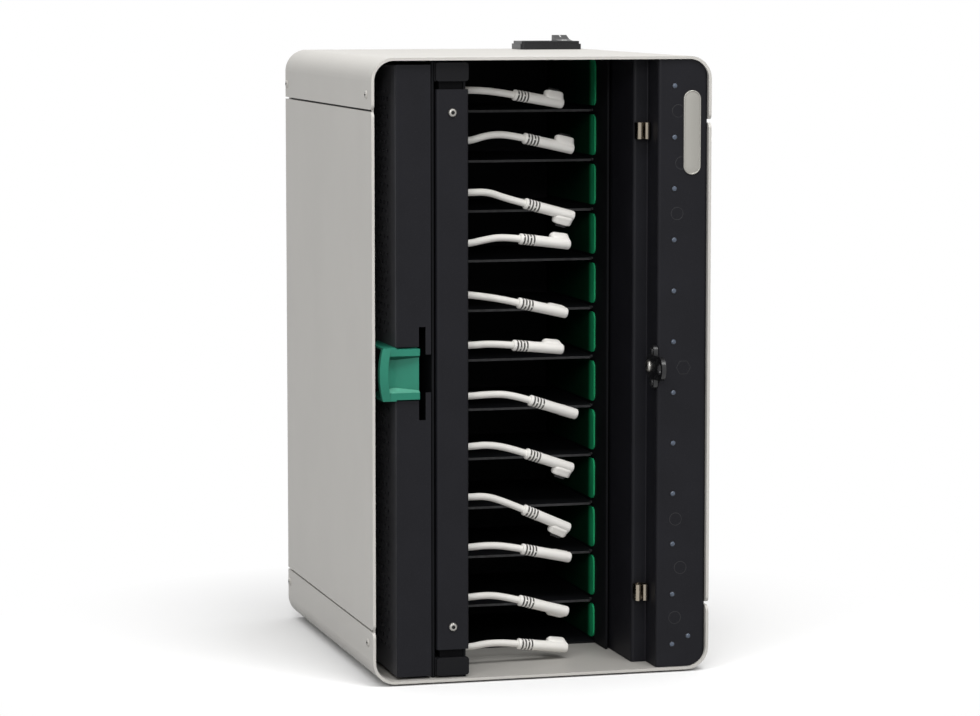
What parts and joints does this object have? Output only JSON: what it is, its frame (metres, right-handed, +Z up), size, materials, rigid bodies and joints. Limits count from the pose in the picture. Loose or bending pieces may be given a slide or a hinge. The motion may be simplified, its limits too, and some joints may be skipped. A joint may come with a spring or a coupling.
{
  "type": "charging station",
  "caption": "Tabletop charging tower: open sheet cabinet of shelf bays with a plug cord each, a pocket door that slides out of the left side, lamps, a hasp and a switched inlet.",
  "frame": {"origin": "on the table under the middle of the part's bounding box, hasp included", "axes": "+Z up, +X to the right as seen from the open front, -Y out of the open front"},
  "size_m": [0.247, 0.304, 0.4471],
  "materials": {
    "shell_paint": "satin",
    "black_paint": "satin",
    "black_plastic": "matte",
    "black_gloss": "gloss",
    "black_rubber": "matte",
    "lens": "gloss",
    "circuit_board": "satin",
    "badge_metal": "satin",
    "bright_steel": "bright",
    "steel": "satin",
    "pin_metal": "bright",
    "guide_green": "satin",
    "supply_case": "satin",
    "handle_teal": "satin",
    "nylon": "satin",
    "white_cord": "satin",
    "white_plug": "satin"
  },
  "bodies": {
    "cabinet": {"top_cap": "shell_paint", "bottom_pan": "shell_paint", "left_side_panel": "shell_paint", "right_side_panel": "shell_paint", "rear_panel": "shell_paint", "shell_screws": "shell_paint", "led_column": "black_paint", "hasp": "black_paint", "cable_cover": "black_paint", "pocket_partition": "black_paint", "bay_left_wall": "black_paint", "bay_right_wall": "black_paint", "bay_dividers": "black_paint", "bay_back_wall": "black_paint", "slide_rails": "black_paint", "rubber_feet": "black_rubber", "cable_grommets": "black_rubber", "wiring_trunk": "black_rubber", "led_lenses": "lens", "led_board": "circuit_board", "usb_board": "circuit_board", "badge_plate": "badge_metal", "spring_catches": "bright_steel", "button_screws": "steel", "duct_end_blocks": "black_plastic", "inlet_housing": "black_gloss", "inlet_pins": "pin_metal", "bay_side_guides": "guide_green", "power_supply": "supply_case", "cord_01": "white_cord", "cord_02": "white_cord", "cord_03": "white_cord", "cord_04": "white_cord", "cord_05": "white_cord", "cord_06": "white_cord", "cord_07": "white_cord", "cord_08": "white_cord", "cord_09": "white_cord", "cord_10": "white_cord", "cord_11": "white_cord", "cord_12": "white_cord", "plug_01": "white_plug", "plug_02": "white_plug", "plug_03": "white_plug", "plug_04": "white_plug", "plug_05": "white_plug", "plug_06": "white_plug", "plug_07": "white_plug", "plug_08": "white_plug", "plug_09": "white_plug", "plug_10": "white_plug", "plug_11": "white_plug", "plug_12": "white_plug"},
    "door": {"door_leaf": "black_paint", "door_handle": "handle_teal", "door_strikes": "steel", "door_carriage": "steel", "door_hinge_pins": "steel", "door_runners": "nylon"},
    "rocker": {"rocker": "black_gloss"}
  },
  "joints": [
    {"name": "door_slide", "type": "slide", "parent": "cabinet", "child": "door", "axis": [0, -1, 0], "range_m": [0, 0.18]},
    {"name": "rocker_tilt", "type": "hinge", "parent": "cabinet", "child": "rocker", "pos_m": [0.0883, 0.126, 0.4404], "axis": [-1, 0, 0], "range_deg": [0, 28]}
  ]
}
